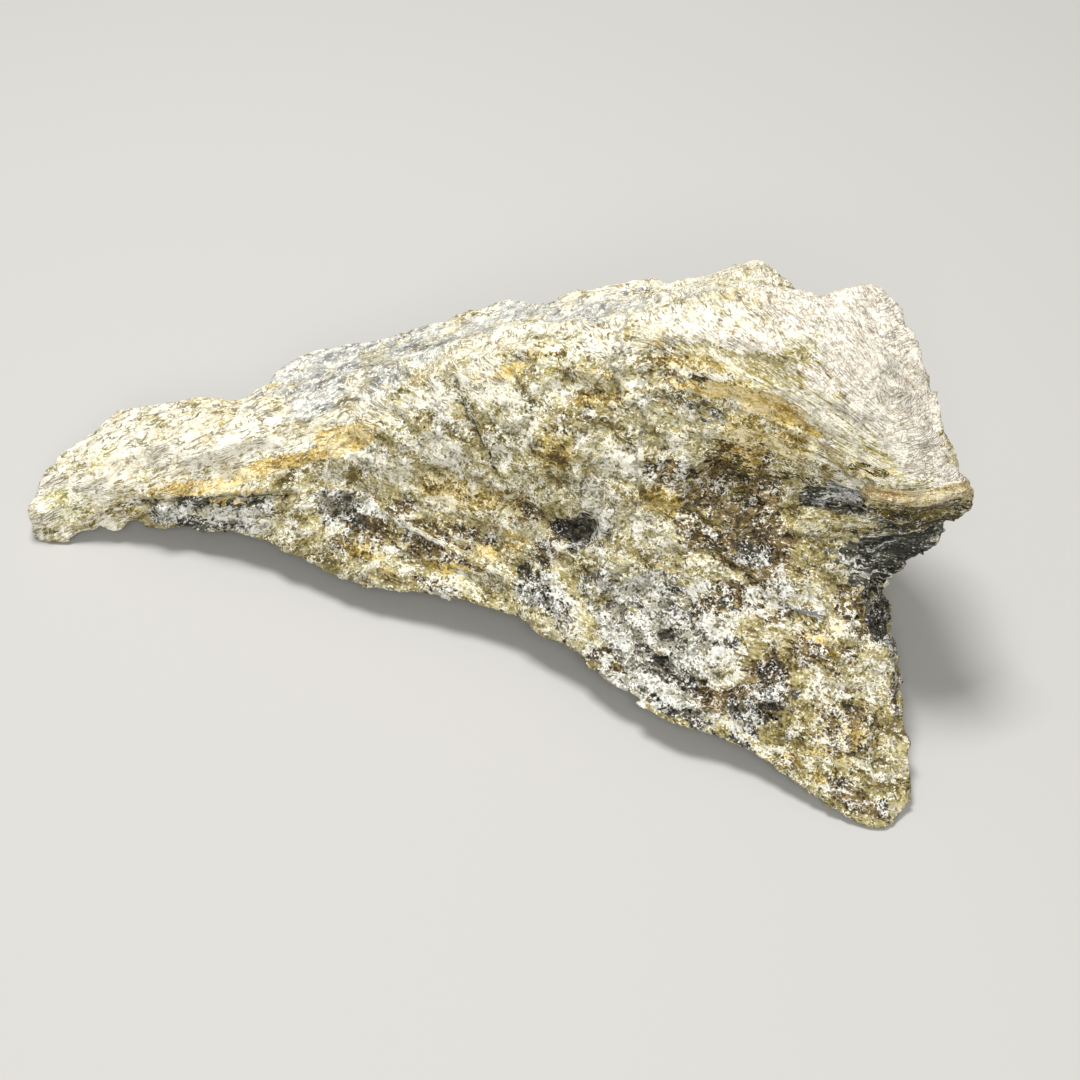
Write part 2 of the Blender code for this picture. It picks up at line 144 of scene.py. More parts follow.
# Marks on the side that faces the camera, placed in steps of the camera's own view: across, down, half length,
# half width, tilt in degrees clockwise, and strength
marks = {
    # grey stone; the long mark low under the arm also paints the shade there
    "grey": [
        (430, 436, 50, 36, 20, 0.42), (346, 510, 50, 24, 20, 0.7), (430, 550, 62, 20, 25, 0.45),
        (655, 640, 70, 76, 35, 0.9), (770, 600, 40, 26, 20, 0.6), (560, 600, 36, 26, 40, 0.7),
        (205, 518, 62, 13, 8, 0.9), (655, 400, 40, 10, -5, 0.45), (700, 412, 46, 18, 20, 0.4),
        (600, 590, 26, 36, 10, 0.6), (322, 492, 20, 10, 0, 0.5), (600, 520, 30, 20, 0, 0.5),
        (535, 590, 24, 24, 30, 0.8), (700, 715, 46, 14, 30, 0.7), (860, 560, 40, 20, 0, 0.5),
        (520, 320, 60, 5, -18, 0.4), (470, 360, 20, 6, -30, 0.5), (700, 700, 30, 14, 30, 0.7),
    ],
    "brown": [
        (372, 530, 34, 13, 20, 0.65), (440, 556, 54, 14, 25, 0.65), (432, 582, 32, 7, 22, 0.6),
        (818, 692, 12, 14, 0, 0.5), (738, 482, 34, 44, 5, 1), (758, 540, 36, 30, 20, 1), (728, 598, 24, 22, 20, 0.7),
        (706, 538, 40, 18, 20, 0.7), (664, 472, 26, 18, 0, 0.7), (450, 535, 60, 16, 14, 0.6),
        (524, 518, 22, 20, 20, 0.55), (610, 402, 40, 9, -4, 0.5), (685, 378, 40, 14, 12, 0.6),
        (560, 440, 30, 20, 0, 0.5), (790, 565, 34, 16, 40, 0.5), (812, 650, 30, 12, 25, 0.5),
        (766, 690, 26, 40, 10, 0.9), (850, 745, 20, 16, 20, 0.65), (400, 505, 24, 14, 0, 0.5),
        (770, 500, 16, 30, 10, 0.6), (756, 556, 40, 26, 10, 1), (728, 700, 44, 22, 20, 0.8),
        (700, 500, 30, 16, 0, 0.7), (770, 610, 26, 16, 20, 0.7), (742, 548, 34, 22, 0, 1),
        (752, 700, 36, 20, 20, 0.9), (702, 602, 24, 14, 0, 0.7), (548, 448, 22, 13, 0, 0.7),
        (550, 548, 20, 16, 0, 0.65), (500, 496, 22, 10, 0, 0.6), (640, 452, 34, 9, 0, 0.5),
        (604, 656, 34, 8, 40, 0.6), (897, 680, 6, 40, 0, 0.8), (660, 372, 46, 7, 3, 0.4), (545, 560, 14, 16, 0, 0.4),
        (352, 546, 26, 11, 20, 0.8), (848, 604, 20, 20, 0, 0.8), (858, 800, 34, 13, 30, 0.95),
        (852, 724, 40, 60, -10, 0.52), (696, 602, 22, 14, 0, 0.55), (752, 596, 26, 18, 10, 0.7),
        (808, 650, 24, 28, 20, 0.6), (852, 640, 16, 30, 0, 0.55), (846, 790, 30, 14, 30, 0.8),
        (700, 510, 30, 20, 0, 0.6), (590, 655, 60, 12, 45, 0.4),
    ],
    "honey": [
        (455, 492, 40, 16, 12, 0.9), (500, 500, 26, 14, 10, 0.8), (555, 450, 24, 20, 0, 0.8),
        (744, 444, 26, 34, 0, 0.95), (800, 446, 22, 12, 20, 0.7), (790, 448, 22, 16, 20, 0.8),
        (690, 362, 50, 11, 5, 0.7), (600, 398, 36, 9, 0, 0.7), (545, 352, 30, 10, -8, 0.6),
        (448, 566, 30, 9, 24, 0.6), (660, 502, 28, 16, 0, 0.9), (816, 752, 44, 34, 30, 0.42),
        (742, 388, 36, 9, 10, 0.7), (862, 740, 16, 12, 0, 0.6), (360, 548, 22, 9, 20, 0.6),
        (830, 660, 12, 20, 0, 0.5), (866, 470, 22, 7, 8, 0.8), (800, 520, 18, 12, 0, 0.5),
        (510, 545, 16, 12, 0, 0.5),
    ],
    # dark stone; the marks in the pits, under the beak's lip and under the arm's edge also paint the shade there
    "dark": [
        (564, 528, 17, 11, 10, 0.8), (576, 530, 22, 15, 15, 0.9), (588, 520, 11, 18, 30, 0.8),
        (578, 545, 16, 8, -10, 0.7), (584, 492, 7, 20, 15, 0.55), (526, 576, 14, 20, -20, 0.55),
        (350, 518, 26, 9, 20, 0.5), (396, 540, 30, 7, 24, 0.4), (458, 564, 26, 6, 24, 0.45),
        (732, 602, 16, 14, 0, 0.5), (728, 646, 16, 12, 0, 0.6), (660, 706, 26, 8, 28, 0.8),
        (744, 708, 22, 14, 20, 0.75), (778, 700, 15, 14, 0, 0.55), (486, 462, 6, 12, -12, 0.5),
        (752, 554, 24, 18, 20, 0.7), (600, 556, 8, 12, 0, 0.5), (548, 600, 28, 14, 25, 0.85),
        (602, 658, 18, 12, 40, 0.5), (428, 588, 36, 4, 22, 0.5), (700, 612, 16, 9, 0, 0.5),
        (722, 642, 14, 10, 0, 0.5), (654, 702, 24, 6, 25, 0.6), (832, 498, 30, 11, 8, 0.75),
        (893, 558, 50, 24, -4, 0.85), (880, 612, 12, 30, -5, 1), (885, 805, 7, 6, 0, 0.8), (798, 693, 6, 6, 0, 0.8),
        (775, 716, 9, 6, 20, 0.6), (735, 740, 24, 6, 28, 0.7), (668, 553, 24, 3, -3, 0.3),
        (636, 568, 12, 7, 0, 0.55), (545, 545, 12, 8, 0, 0.5), (640, 606, 14, 10, 0, 0.5),
        (655, 655, 22, 10, 20, 0.55), (676, 680, 30, 12, 25, 0.55), (668, 635, 14, 6, 0, 0.7),
        (690, 596, 22, 14, 0, 0.45), (772, 676, 16, 22, 10, 0.6), (752, 730, 12, 8, 20, 0.7),
        (650, 704, 16, 6, 30, 0.6), (240, 508, 26, 4, 8, 0.4), (180, 504, 44, 4, 3, 0.9),
        (700, 722, 34, 9, 30, 0.55), (755, 712, 18, 14, 0, 0.55), (606, 388, 14, 5, 0, 0.4),
        (735, 520, 20, 20, 0, 0.4), (140, 505, 20, 4, 0, 0.7),
    ],
    "flow": [
        (800, 395, 60, 20, 24, 1), (850, 432, 60, 20, 24, 1), (700, 350, 60, 8, 8, 0.7), (905, 474, 56, 12, 10, 0.9),
        (640, 348, 60, 7, 2, 0.5), (750, 368, 40, 10, 20, 0.9), (575, 600, 10, 46, -25, 0.6),
        (460, 552, 100, 5, 27, 0.5), (840, 455, 40, 14, 14, 0.9), (590, 630, 14, 34, -30, 0.5),
    ],
    "cream": [
        (640, 322, 96, 14, 3, 1), (560, 322, 60, 12, -10, 0.9), (730, 300, 60, 26, 10, 1), (60, 486, 24, 20, 0, 0.9),
        (500, 345, 40, 12, -18, 0.7), (640, 285, 150, 22, -4, 1), (770, 330, 40, 14, 20, 0.9),
        (120, 450, 60, 40, -20, 1), (220, 430, 80, 34, -12, 0.9), (60, 500, 26, 30, 0, 0.9),
        (346, 408, 60, 20, -25, 1), (300, 436, 44, 14, -20, 0.9), (372, 424, 30, 10, -20, 0.6),
        (372, 410, 26, 13, -20, 0.8), (100, 500, 50, 12, -10, 0.7),
    ],
    # pale marks that lighten places which the lamps leave in shade on the arm and front: painted light along with
    # pale stone
    "bonePaintedLight": [
        (140, 464, 70, 16, -6, 1), (220, 452, 60, 12, -14, 0.8), (48, 496, 26, 22, 0, 0.9),
        (84, 486, 30, 10, 0, 0.7), (340, 412, 36, 12, -25, 0.9), (300, 446, 22, 8, -20, 0.7),
        (440, 396, 24, 8, -10, 0.6), (500, 392, 16, 12, 0, 0.6), (448, 450, 16, 12, 0, 0.7),
        (500, 452, 14, 12, 0, 0.6), (400, 448, 14, 8, 0, 0.6), (598, 490, 12, 14, 0, 0.7),
        (610, 505, 12, 10, 0, 0.6), (620, 350, 60, 7, 2, 0.6), (700, 330, 50, 10, 4, 0.7), (655, 545, 20, 6, 0, 0.6),
        (845, 482, 16, 6, 10, 0.5), (760, 400, 16, 5, 20, 0.4), (700, 372, 36, 6, 10, 0.6),
        (640, 382, 20, 5, 0, 0.5),
    ],
    "sand": [
        (860, 340, 44, 60, -10, 1), (910, 430, 34, 56, -30, 1.1), (952, 478, 18, 16, 20, 1),
        (750, 340, 40, 12, 10, 0.8), (800, 310, 40, 24, 20, 0.9), (820, 380, 30, 16, 30, 0.6),
    ],
    "lemon": [
        (66, 506, 24, 22, 0, 0.75), (96, 456, 18, 14, -20, 0.5), (152, 472, 26, 8, -15, 0.5),
        (268, 522, 16, 8, 10, 0.6), (250, 436, 30, 6, -15, 0.4), (180, 418, 30, 7, -12, 0.4),
        (505, 372, 20, 12, -10, 0.6), (560, 364, 30, 8, -4, 0.6), (470, 588, 20, 8, 25, 0.6),
        (680, 348, 30, 5, 4, 0.4), (790, 300, 10, 8, 0, 0.4), (890, 300, 14, 8, 30, 0.4),
        (400, 408, 20, 8, -20, 0.5),
    ],
    "chalk": [
        (604, 312, 74, 11, -4, 0.75), (660, 296, 110, 12, -4, 0.45), (410, 350, 80, 20, -20, 0.8),
        (350, 390, 34, 13, -25, 0.85), (806, 606, 22, 12, 10, 0.6), (500, 320, 40, 8, -14, 0.6),
    ],
    "pale": [
        (300, 500, 20, 18, 0, 0.6), (498, 462, 18, 12, 0, 0.6), (585, 500, 12, 20, 0, 0.4),
        (612, 470, 34, 24, 0, 0.65), (655, 430, 18, 10, 0, 0.3), (590, 440, 24, 14, -10, 0.45),
        (365, 470, 20, 8, 0, 0.6), (368, 454, 20, 12, 0, 0.85), (336, 478, 16, 8, 0, 0.6),
        (450, 382, 18, 10, 0, 0.7), (505, 432, 16, 14, 0, 0.6), (830, 474, 20, 5, 10, 0.6),
        (648, 542, 20, 8, 0, 0.55), (708, 540, 12, 8, 0, 0.4), (596, 590, 10, 12, 0, 0.6), (684, 598, 14, 8, 0, 0.6),
        (660, 652, 12, 8, 0, 0.6), (806, 604, 16, 10, 10, 0.7), (878, 700, 12, 16, 0, 0.6),
        (436, 452, 36, 18, 20, 0.75), (300, 448, 30, 8, -20, 0.5), (598, 502, 26, 20, 0, 0.8),
        (640, 352, 40, 9, 0, 0.6), (650, 548, 30, 10, 0, 0.6), (510, 440, 30, 14, 0, 0.6),
        (340, 478, 24, 8, 10, 0.5), (790, 736, 14, 12, 0, 0.6), (880, 672, 8, 16, 0, 0.5),
        (690, 465, 12, 12, 0, 0.5), (540, 420, 40, 20, 10, 0.5), (440, 500, 17, 9, 10, 0.8),
        (510, 400, 20, 16, 0, 0.6), (630, 520, 30, 18, 0, 0.6), (600, 560, 22, 12, 0, 0.5),
        (720, 620, 20, 18, 0, 0.7), (700, 562, 22, 8, 10, 0.6), (650, 600, 10, 12, -30, 0.6),
        (697, 590, 12, 12, 0, 0.7), (760, 600, 26, 18, 20, 0.6), (720, 665, 24, 22, 20, 0.7),
        (800, 600, 20, 9, 20, 0.6), (790, 625, 16, 8, 20, 0.5), (840, 690, 16, 12, 0, 0.5),
        (470, 480, 14, 14, 0, 0.5), (505, 500, 12, 8, 0, 0.4), (560, 345, 50, 10, -6, 0.5),
        (430, 400, 40, 12, -10, 0.5), (480, 580, 40, 8, 26, 0.6), (290, 530, 26, 12, 20, 0.6),
        (600, 655, 20, 10, 40, 0.6), (400, 470, 30, 14, 10, 0.5), (560, 590, 14, 20, 0, 0.5),
        (880, 780, 20, 14, 0, 0.5), (640, 700, 24, 6, 30, 0.5), (250, 520, 10, 6, 0, 0.6),
        (230, 515, 46, 8, 5, 0.85), (330, 372, 20, 5, -30, 0.5), (300, 398, 14, 5, -20, 0.5),
        (400, 342, 20, 4, -20, 0.5), (450, 328, 16, 5, -15, 0.4), (560, 396, 20, 10, -10, 0.5),
        (636, 398, 20, 8, 0, 0.7), (520, 430, 22, 12, 0, 0.6), (450, 424, 24, 12, 10, 0.7),
        (598, 462, 16, 16, 0, 0.6), (488, 392, 16, 14, 0, 0.7), (440, 446, 16, 12, 0, 0.7),
    ],
    "amber": [
        (340, 440, 34, 17, -18, 1), (270, 465, 48, 8, -18, 0.75), (200, 486, 60, 7, -8, 0.7),
        (768, 408, 38, 14, 20, 0.95), (735, 392, 30, 9, 10, 0.7), (700, 386, 40, 9, 12, 0.7),
        (485, 552, 18, 8, 20, 0.6), (395, 572, 26, 6, 20, 0.45), (742, 452, 12, 30, 0, 0.65),
        (870, 470, 26, 7, 10, 0.6), (822, 640, 22, 7, 20, 0.5), (800, 430, 26, 5, 18, 0.6),
        (875, 700, 10, 20, 20, 0.4), (500, 375, 40, 8, -8, 0.45), (580, 372, 40, 6, 5, 0.4),
        (230, 505, 30, 3, 4, 0.5), (840, 630, 8, 20, 0, 0.4),
    ],
    "glass": [
        (915, 515, 56, 8, 2, 1), (738, 478, 14, 30, 8, 0.75), (958, 508, 22, 9, -10, 1), (800, 478, 26, 5, 10, 0.6),
        (720, 612, 12, 5, 10, 0.5), (870, 532, 30, 5, 6, 0.6), (705, 520, 24, 10, 20, 0.5),
        (560, 440, 16, 12, 0, 0.4),
    ],
}

# Bands with a firm edge on the same side: half width in steps, then the places they run through
ribbons = {
    # dark bands in the recess at the right, under the arm's edge, in the groove below the ridge and in the crack:
    # painted shade
    "dark": [
        (9, (872, 592), (880, 612), (879, 634)),
        (1.6, (118, 506), (150, 504), (176, 498), (240, 497), (286, 497)),
        (1, (366, 400), (384, 390), (410, 378), (440, 362), (470, 350), (504, 340)),
        (2, (452, 378), (456, 396), (468, 410), (475, 430), (486, 450), (489, 470)),
    ],
    # these bands lie under the beak's lip and under the arm: painted shade there along with dark stone
    "slateAndShade": [
        (9, (808, 496), (826, 498), (846, 504)),
        (6, (846, 505), (868, 513), (890, 523)),
        (8, (866, 540), (915, 533), (946, 527)),
        (10, (850, 552), (856, 566)),
        (13, (862, 566), (890, 556), (918, 544)),
        (9, (856, 578), (878, 575), (902, 566)),
        (2, (196, 505), (226, 507), (262, 504)),
        (1.6, (170, 514), (206, 522), (232, 526)),
    ],
    # bright silvery flashes on the dark lens and under the lip: painted sheen
    "paintedSheen": [
        (8, (832, 488), (852, 496)),
        (2.5, (880, 524), (912, 521)),
        (3, (812, 500), (822, 502)),
        (2.5, (884, 548), (904, 541)),
    ],
    # a grey band under the arm: painted shade there along with grey stone
    "grey": [
        (11, (160, 512), (226, 514), (262, 508)),
    ],
    "pale": [
        (1, (793, 462), (800, 448), (812, 446), (826, 455), (820, 466), (795, 463)),
        (1, (828, 470), (836, 461), (848, 455)),
        (1.2, (900, 527), (930, 522), (962, 516)),
    ],
    "amber": [
        (2.5, (172, 491), (206, 492), (262, 490)),
        (2.2, (866, 501), (895, 505), (914, 507), (933, 504), (958, 498)),
        (10, (330, 446), (348, 438), (362, 438)),
        (5, (240, 474), (286, 464), (330, 452)),
    ],
    "tan": [
        (7.5, (868, 493), (895, 497), (914, 500), (933, 497), (957, 491), (971, 486)),
        (5, (967, 496), (970, 508)),
    ],
    "glass": [
        (8, (893, 514), (914, 515), (938, 511), (957, 507)),
        (4, (852, 466), (868, 468), (885, 474)),
    ],
}

# Grooves and raised edges on the same side: width in steps, height in mm, then the places they run through
strokes = [
    (5, 0.45, (868, 496), (895, 501), (914, 503), (933, 500), (957, 494), (972, 489)),  # the lip of the beak
    (6, -0.55, (885, 513), (926, 516), (962, 510)),  # the clear band under it
    (4, -0.45, (884, 530), (920, 530), (954, 521)),
    (5, -0.45, (806, 492), (834, 500), (866, 516), (894, 530)),  # the dark lens
    (4, -0.22, (690, 352), (760, 372), (830, 408), (900, 452), (950, 480)),  # layers that run to the beak
    (4, -0.2, (650, 372), (720, 392), (800, 428), (870, 456)),
    (4, -0.2, (620, 342), (700, 344), (770, 362), (850, 402), (930, 452)),
    (4, -0.2, (740, 412), (790, 440), (860, 462)),
    (5, 0.15, (700, 372), (770, 396), (850, 436), (920, 468)),
    (6, 0.45, (296, 400), (360, 374), (420, 352), (480, 337), (560, 325), (640, 317)),  # the ridge
    (3, -0.2, (310, 392), (380, 366), (440, 345), (490, 334)),
    (5, -0.75, (452, 380), (462, 412), (476, 440), (489, 474)),  # the crack below it
    (6, -0.85, (118, 502), (180, 504), (240, 500), (292, 496)),  # under the arm
    (3, -0.15, (150, 470), (210, 462), (270, 440), (320, 418)),
    (3, -0.15, (90, 462), (130, 478), (190, 476)),
    (3, -0.12, (110, 440), (180, 425), (250, 412), (300, 398)),
    (6, 0.45, (345, 488), (400, 520), (470, 560), (560, 604)),  # the pale edge along the foot
    (7, -0.6, (320, 500), (370, 530), (440, 566), (500, 590)),
    (6, -0.5, (592, 606), (622, 572), (668, 552), (716, 556)),  # round the grainy boss
    (7, -0.55, (562, 560), (580, 600), (602, 648), (640, 690)),
    (5, -0.5, (716, 556), (760, 590), (790, 640), (796, 690)),
    (5, -0.5, (590, 460), (584, 500), (560, 512)),
    (5, -0.45, (556, 452), (600, 426), (650, 432), (668, 462)),  # blocks
    (5, -0.45, (668, 462), (650, 500), (612, 522), (600, 550)),
    (4, -0.4, (700, 440), (690, 480), (706, 520), (690, 548)),
    (5, -0.5, (800, 470), (786, 520), (800, 560), (850, 590)),
    (4, -0.4, (600, 390), (560, 400), (500, 440), (486, 500)),
    (4, -0.35, (840, 590), (820, 630), (850, 680), (842, 730)),
    (4, -0.3, (850, 700), (880, 740), (870, 790)),
]

# Pits there: across, down, half sizes in steps, tilt and depth in mm
pits = [
    (568, 530, 20, 12, 10, 0.45), (586, 518, 12, 18, 30, 0.45), (878, 612, 12, 28, -5, 0.9),
    (742, 500, 40, 46, 10, 0.5), (832, 499, 30, 11, 8, 0.4), (798, 693, 6, 6, 0, 0.7), (775, 722, 13, 6, 20, 0.6),
    (338, 514, 32, 12, 20, 0.3), (450, 550, 40, 12, 24, 0.3), (526, 580, 12, 20, -20, 0.4),
    (668, 636, 14, 7, 0, 0.5), (893, 556, 44, 18, -4, 0.4), (606, 388, 18, 8, 0, 0.3),
]


def points(mesh):
    flat = np.empty(3 * len(mesh.vertices), np.float32)
    mesh.vertices.foreach_get("co", flat)
    return flat.reshape(-1, 3) / mm


def smooth(value, low, high):
    t = np.clip((value - low) / (high - low), 0, 1)
    return t * t * (3 - 2 * t)


def layerHeight(p, wander):
    # how far each point is across the layers: they rise along the arm, turn over and run together at the beak,
    # and below the ridge they lie the other way
    x, y, z = p.T
    beakX, beakZ = stone["beak"]
    height = z + stone["dipBack"] * y
    arm = height - beakZ - stone["armSlope"] * (x - stone["apex"])
    beak = (height - beakZ) * (beakX - stone["apex"]) / np.maximum(beakX - x, stone["beakPitch"])
    over = smooth(x, *stone["turnOver"])
    ridge = arm * (1 - over) + beak * over
    front = height + stone["frontSlope"] * x - stone["frontDrop"]
    below = smooth(y - stone["frontLean"] * z, *stone["frontFade"]) * smooth(x, *stone["frontEnd"])
    below *= 1 - smooth(z, *stone["beakRoot"]["z"]) * smooth(x, *stone["beakRoot"]["x"])
    return np.where(below + 0.3 * wander[:, 0] > 0.5, front, ridge)


def noiseVectors(p, size):
    return np.array([noise.noise_vector(Vector(q) / size) for q in p])


def areaStrength(p, places):
    # 1 inside any of the ellipsoids, falling to 0 at 1.3 times their size
    best = np.zeros(len(p))
    for at, (a, b, c), tilt, much in places:
        turn = math.radians(tilt)
        q = p - np.array(at)
        along = q[:, 0] * math.cos(turn) - q[:, 2] * math.sin(turn)
        up = q[:, 0] * math.sin(turn) + q[:, 2] * math.cos(turn)
        away = np.sqrt((along / a) ** 2 + (q[:, 1] / b) ** 2 + (up / c) ** 2)
        t = np.clip((1.3 - away) / 0.9, 0, 1)
        best = np.maximum(best, t * t * (3 - 2 * t) * much)
    return best


def frontView(mesh):
    # where each point stands in the camera's view, and how squarely it faces the camera
    p = points(mesh)
    down = math.radians(camera["down"])
    forward = np.array((0, math.cos(down), -math.sin(down)))
    up = np.array((0, math.sin(down), math.cos(down)))
    q = p - np.array(camera["at"])
    scale = camera["lens"] / camera["sensor"] * camera["steps"] / (q @ forward)
    middle = camera["steps"] / 2
    view = np.stack((middle + q[:, 0] * scale, middle - q @ up * scale), axis=1)
    normals = np.empty(3 * len(p), np.float32)
    mesh.vertex_normals.foreach_get("vector", normals)
    toCamera = -q / np.linalg.norm(q, axis=1)[:, None]
    return view, smooth((normals.reshape(-1, 3) * toCamera).sum(axis=1), *edges["facing"])


def markStrength(view, places):
    best = np.zeros(len(view))
    for across, down, a, b, tilt, much in places:
        turn = math.radians(tilt)
        q = view - (across, down)
        along = q[:, 0] * math.cos(turn) + q[:, 1] * math.sin(turn)
        side = q[:, 1] * math.cos(turn) - q[:, 0] * math.sin(turn)
        away = np.sqrt((along / a) ** 2 + (side / b) ** 2)
        best = np.maximum(best, smooth(away, *edges["markFade"]) * much)
    return best


def ribbonStrength(view, bands):
    best = np.zeros(len(view))
    for halfWidth, *path in bands:
        inward = (halfWidth - pathDistance(view, path)) * edges["ribbonFirm"]
        best = np.maximum(best, np.clip(0.5 + inward, 0, edges["ribbonMost"]))
    return best


def pathDistance(view, path):
    away = np.full(len(view), 1e9)
    for start, end in zip(path, path[1:]):
        a, b = np.array(start, float), np.array(end, float)
        t = np.clip((view - a) @ (b - a) / ((b - a) @ (b - a)), 0, 1)
        away = np.minimum(away, np.linalg.norm(view - a - t[:, None] * (b - a), axis=1))
    return away


def carvedHeight(view):
    # what the grooves, edges and pits add to or take from the surface, in mm
    height = np.zeros(len(view))
    for width, much, *path in strokes:
        height += smooth(pathDistance(view, path), width * edges["strokeReach"], 0) * much
    for across, down, a, b, tilt, depth in pits:
        height -= markStrength(view, [(across, down, a, b, tilt, depth)])
    return height


def storeValues(mesh, name, values):
    slot = mesh.attributes.new(name, "FLOAT", "POINT")
    slot.data.foreach_set("value", np.asarray(values, np.float32))


def markAreas(mesh):
    # the layer coordinate and one strength for each finish, kept on the points for the relief and the material
    p = points(mesh)
    noise.seed_set(stone["seed"])
    wander = noiseVectors(p, 5.0) * stone["edgeWander"] + noiseVectors(p, 1.8) * stone["edgeWander"] * 0.4
    storeValues(mesh, "layer", layerHeight(p, wander))
    view, facing = frontView(mesh)
    spread = wander[:, [0, 2]] * edges["wander"]
    storeValues(mesh, "carved", carvedHeight(view + spread * edges["strokeWander"]) * facing)
    storeValues(mesh, "rear", 1 - facing)
    for name in finish:
        strength = areaStrength(p + wander, areas.get(name, []))
        strength = np.maximum(strength, markStrength(view + spread, marks.get(name, [])) * facing)
        ribbon = ribbonStrength(view + spread * edges["ribbonWander"], ribbons.get(name, []))
        strength = np.maximum(strength, ribbon * facing)
        storeValues(mesh, name, strength)


def placed(name, data):
    thing = bpy.data.objects.new(name, data)
    bpy.context.scene.collection.objects.link(thing)
    return thing


def evenSkin():
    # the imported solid's skin, merged, rebuilt with small even faces and rounded a little
    work = bmesh.new()
    work.from_mesh(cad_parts[stone["node"]].data)
    bmesh.ops.remove_doubles(work, verts=work.verts, dist=1e-6)
    mesh = bpy.data.meshes.new("evenSkin")
    work.to_mesh(mesh)
    work.free()
    skin = placed("evenSkin", mesh)
    even = skin.modifiers.new("even", "REMESH")
    even.mode = "VOXEL"
    even.voxel_size = stone["voxel"] * mm
    soft = skin.modifiers.new("soft", "SMOOTH")
    soft.factor = 0.5
    soft.iterations = stone["smoothing"]
    return skin


def applied(piece):
    # swaps a piece's mesh for what its modifiers make of it
    seen = piece.evaluated_get(bpy.context.evaluated_depsgraph_get())
    mesh = bpy.data.meshes.new_from_object(seen)
    piece.modifiers.clear()
    piece.data = mesh
    return piece


def onePiece(mesh):
    # rebuilding the skin can leave a speck that hangs free, so only the largest piece is kept
    work = bmesh.new()
    work.from_mesh(mesh)
    unseen = set(work.verts)
    pieces = []
    while unseen:
        piece = {unseen.pop()}
        reach = list(piece)
        while reach:
            point = reach.pop()
            fresh = {edge.other_vert(point) for edge in point.link_edges} & unseen
            unseen -= fresh
            piece |= fresh
            reach.extend(fresh)
        pieces.append(piece)
    pieces.sort(key=len)
    bmesh.ops.delete(work, geom=[v for piece in pieces[:-1] for v in piece], context="VERTS")
    work.to_mesh(mesh)
    work.free()


# A short way to write node trees
class Wires:
    def __init__(self, tree):
        self.tree = tree

    def add(self, kind, feeds=None, **settings):
        node = self.tree.nodes.new(kind)
        for name, value in settings.items():
            setattr(node, name, value)
        for name, value in (feeds or {}).items():
            self.feed(node.inputs[name], value)
        return node

    def feed(self, socket, value):
        if isinstance(value, bpy.types.NodeSocket):
            self.tree.links.new(value, socket)
        else:
            socket.default_value = value

    def maths(self, operation, a, b=0.0, c=0.0):
        return self.add("ShaderNodeMath", {0: a, 1: b, 2: c}, operation=operation).outputs[0]

    def plus(self, a, b):
        return self.maths("ADD", a, b)

    def minus(self, a, b):
        return self.maths("SUBTRACT", a, b)

    def times(self, a, b):
        return self.maths("MULTIPLY", a, b)

    def timesPlus(self, a, b, c):
        return self.maths("MULTIPLY_ADD", a, b, c)

    def vector(self, operation, a, b=(0, 0, 0)):
        return self.add("ShaderNodeVectorMath", {0: a, 1: b}, operation=operation).outputs[0]

    def centre(self, a):
        return self.vector("SUBTRACT", a, (0.5, 0.5, 0.5))

    def scaled(self, a, factor):
        return self.add("ShaderNodeVectorMath", {0: a, "Scale": factor}, operation="SCALE").outputs[0]

    def ramp(self, value, low, high, start=0.0, end=1.0):
        feeds = {"Value": value, "From Min": low, "From Max": high, "To Min": start, "To Max": end}
        return self.add("ShaderNodeMapRange", feeds, interpolation_type="SMOOTHSTEP").outputs[0]

    def joined(self, x, y, z):
        return self.add("ShaderNodeCombineXYZ", {0: x, 1: y, 2: z}).outputs[0]

    def split(self, a):
        return self.add("ShaderNodeSeparateXYZ", {0: a}).outputs

    def over(self, size):
        return self.maths("DIVIDE", 1.0, size) if isinstance(size, bpy.types.NodeSocket) else 1 / size

    def noise(self, at, size, detail=2.0, rough=0.55, distortion=0.0):
        feeds = {"Vector": at, "Scale": self.over(size), "Detail": detail, "Roughness": rough,
                 "Distortion": distortion}
        return self.add("ShaderNodeTexNoise", feeds).outputs

    def cells(self, at, size, feature="F1"):
        return self.add("ShaderNodeTexVoronoi", {"Vector": at, "Scale": self.over(size)}, feature=feature).outputs

    def most(self, *values):
        # the largest of several values
        best = values[0]
        for value in values[1:]:
            best = self.maths("MAXIMUM", best, value)
        return best

    def give(self, *values):
        out = self.add("NodeGroupOutput")
        for i, value in enumerate(values):
            self.feed(out.inputs[i], value)

    def mixed(self, factor, a, b, blend="MIX"):
        feeds = {0: factor, 6: a, 7: b}
        return self.add("ShaderNodeMix", feeds, data_type="RGBA", blend_type=blend).outputs[2]


def newGroup(name, kind, ins, outs):
    # ins and outs give the kind of value that each named socket holds
    tree = bpy.data.node_groups.new(name, kind)
    for way, sockets in (("INPUT", ins), ("OUTPUT", outs)):
        for label, holds in sockets.items():
            tree.interface.new_socket(label, in_out=way, socket_type="NodeSocket" + holds)
    w = Wires(tree)
    return tree, w, w.add("NodeGroupInput").outputs


# Relief: broken grains, layer edges and cleavage steps, pushed out along the skin's normals

relief = {
    "Layer Pitch": 1.25,  # mm between layer edges
    "Layer Height": 0.50,
    "Layer Run": 6.0,  # mm that one layer edge keeps its height
    "Crevice Depth": 0.25,
    "Grain Size": 1.8,
    "Grain Height": 0.30,
    "Step Size": 3.6,
    "Step Height": 0.40,
    "Lump Size": 4.0,
    "Lump Height": 0.6,
    "Fine Size": 1.0,
    "Fine Height": 0.10,
    "Rear Boost": 0.8,  # how much bolder the steps and lumps are at the back and sides
    "Seed": 0.0,
}


